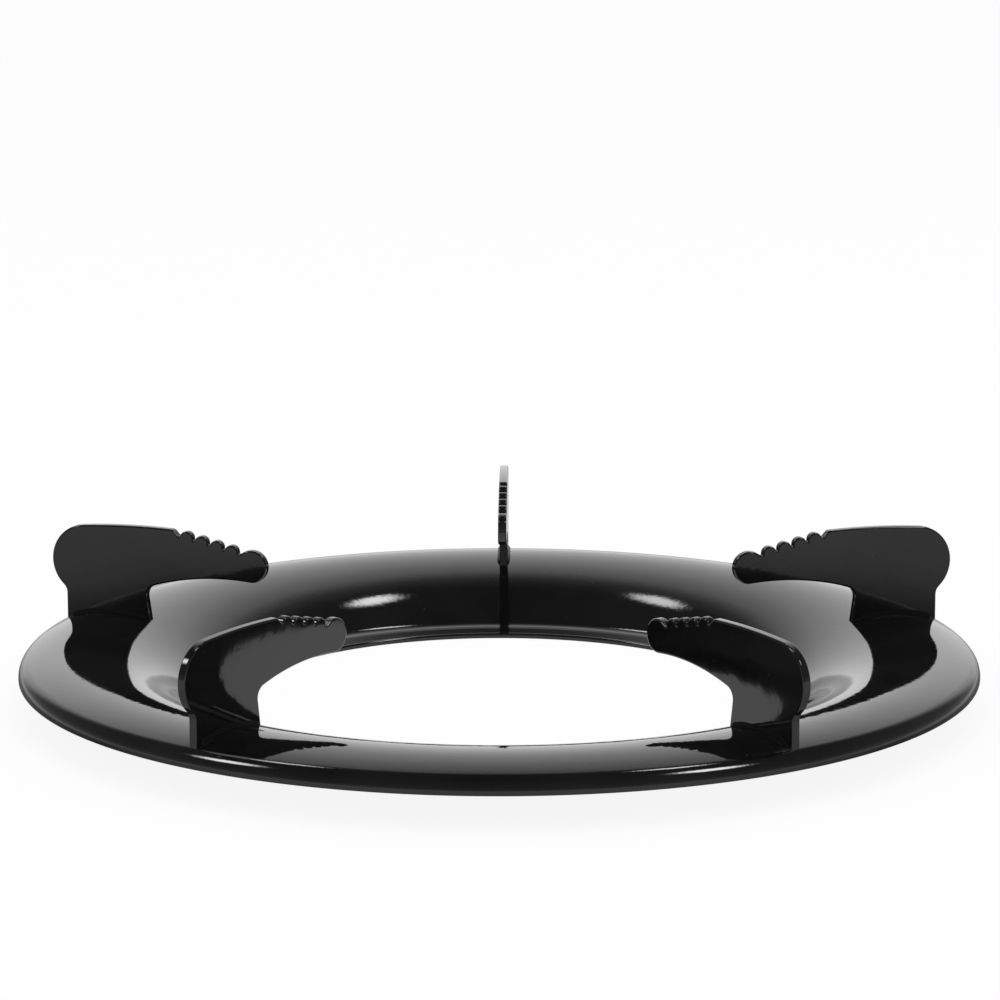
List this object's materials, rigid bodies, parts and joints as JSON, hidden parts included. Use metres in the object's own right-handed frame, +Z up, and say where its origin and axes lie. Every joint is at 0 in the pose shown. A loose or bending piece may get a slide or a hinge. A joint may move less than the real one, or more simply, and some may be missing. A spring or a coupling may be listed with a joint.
{
  "type": "gas stove pan support",
  "caption": "Round pan support for a gas burner: a dished ring pressed from steel sheet around a wide burner hole, with upright scalloped prongs on its crest, all in glossy black enamel.",
  "frame": {"origin": "on the ring's axis, level with the flat underside of the ledge that the ring stands on", "axes": "+Z up, the way the prongs point; +Y out along the first prong, which is at the back in the picture; +X to the right in the picture"},
  "size_m": [0.245, 0.2466, 0.0389],
  "materials": {
    "enamel": "gloss black vitreous enamel"
  },
  "bodies": {
    "root": {"ring": "enamel", "prong_1": "enamel", "prong_2": "enamel", "prong_3": "enamel", "prong_4": "enamel", "prong_5": "enamel"}
  },
  "joints": []
}
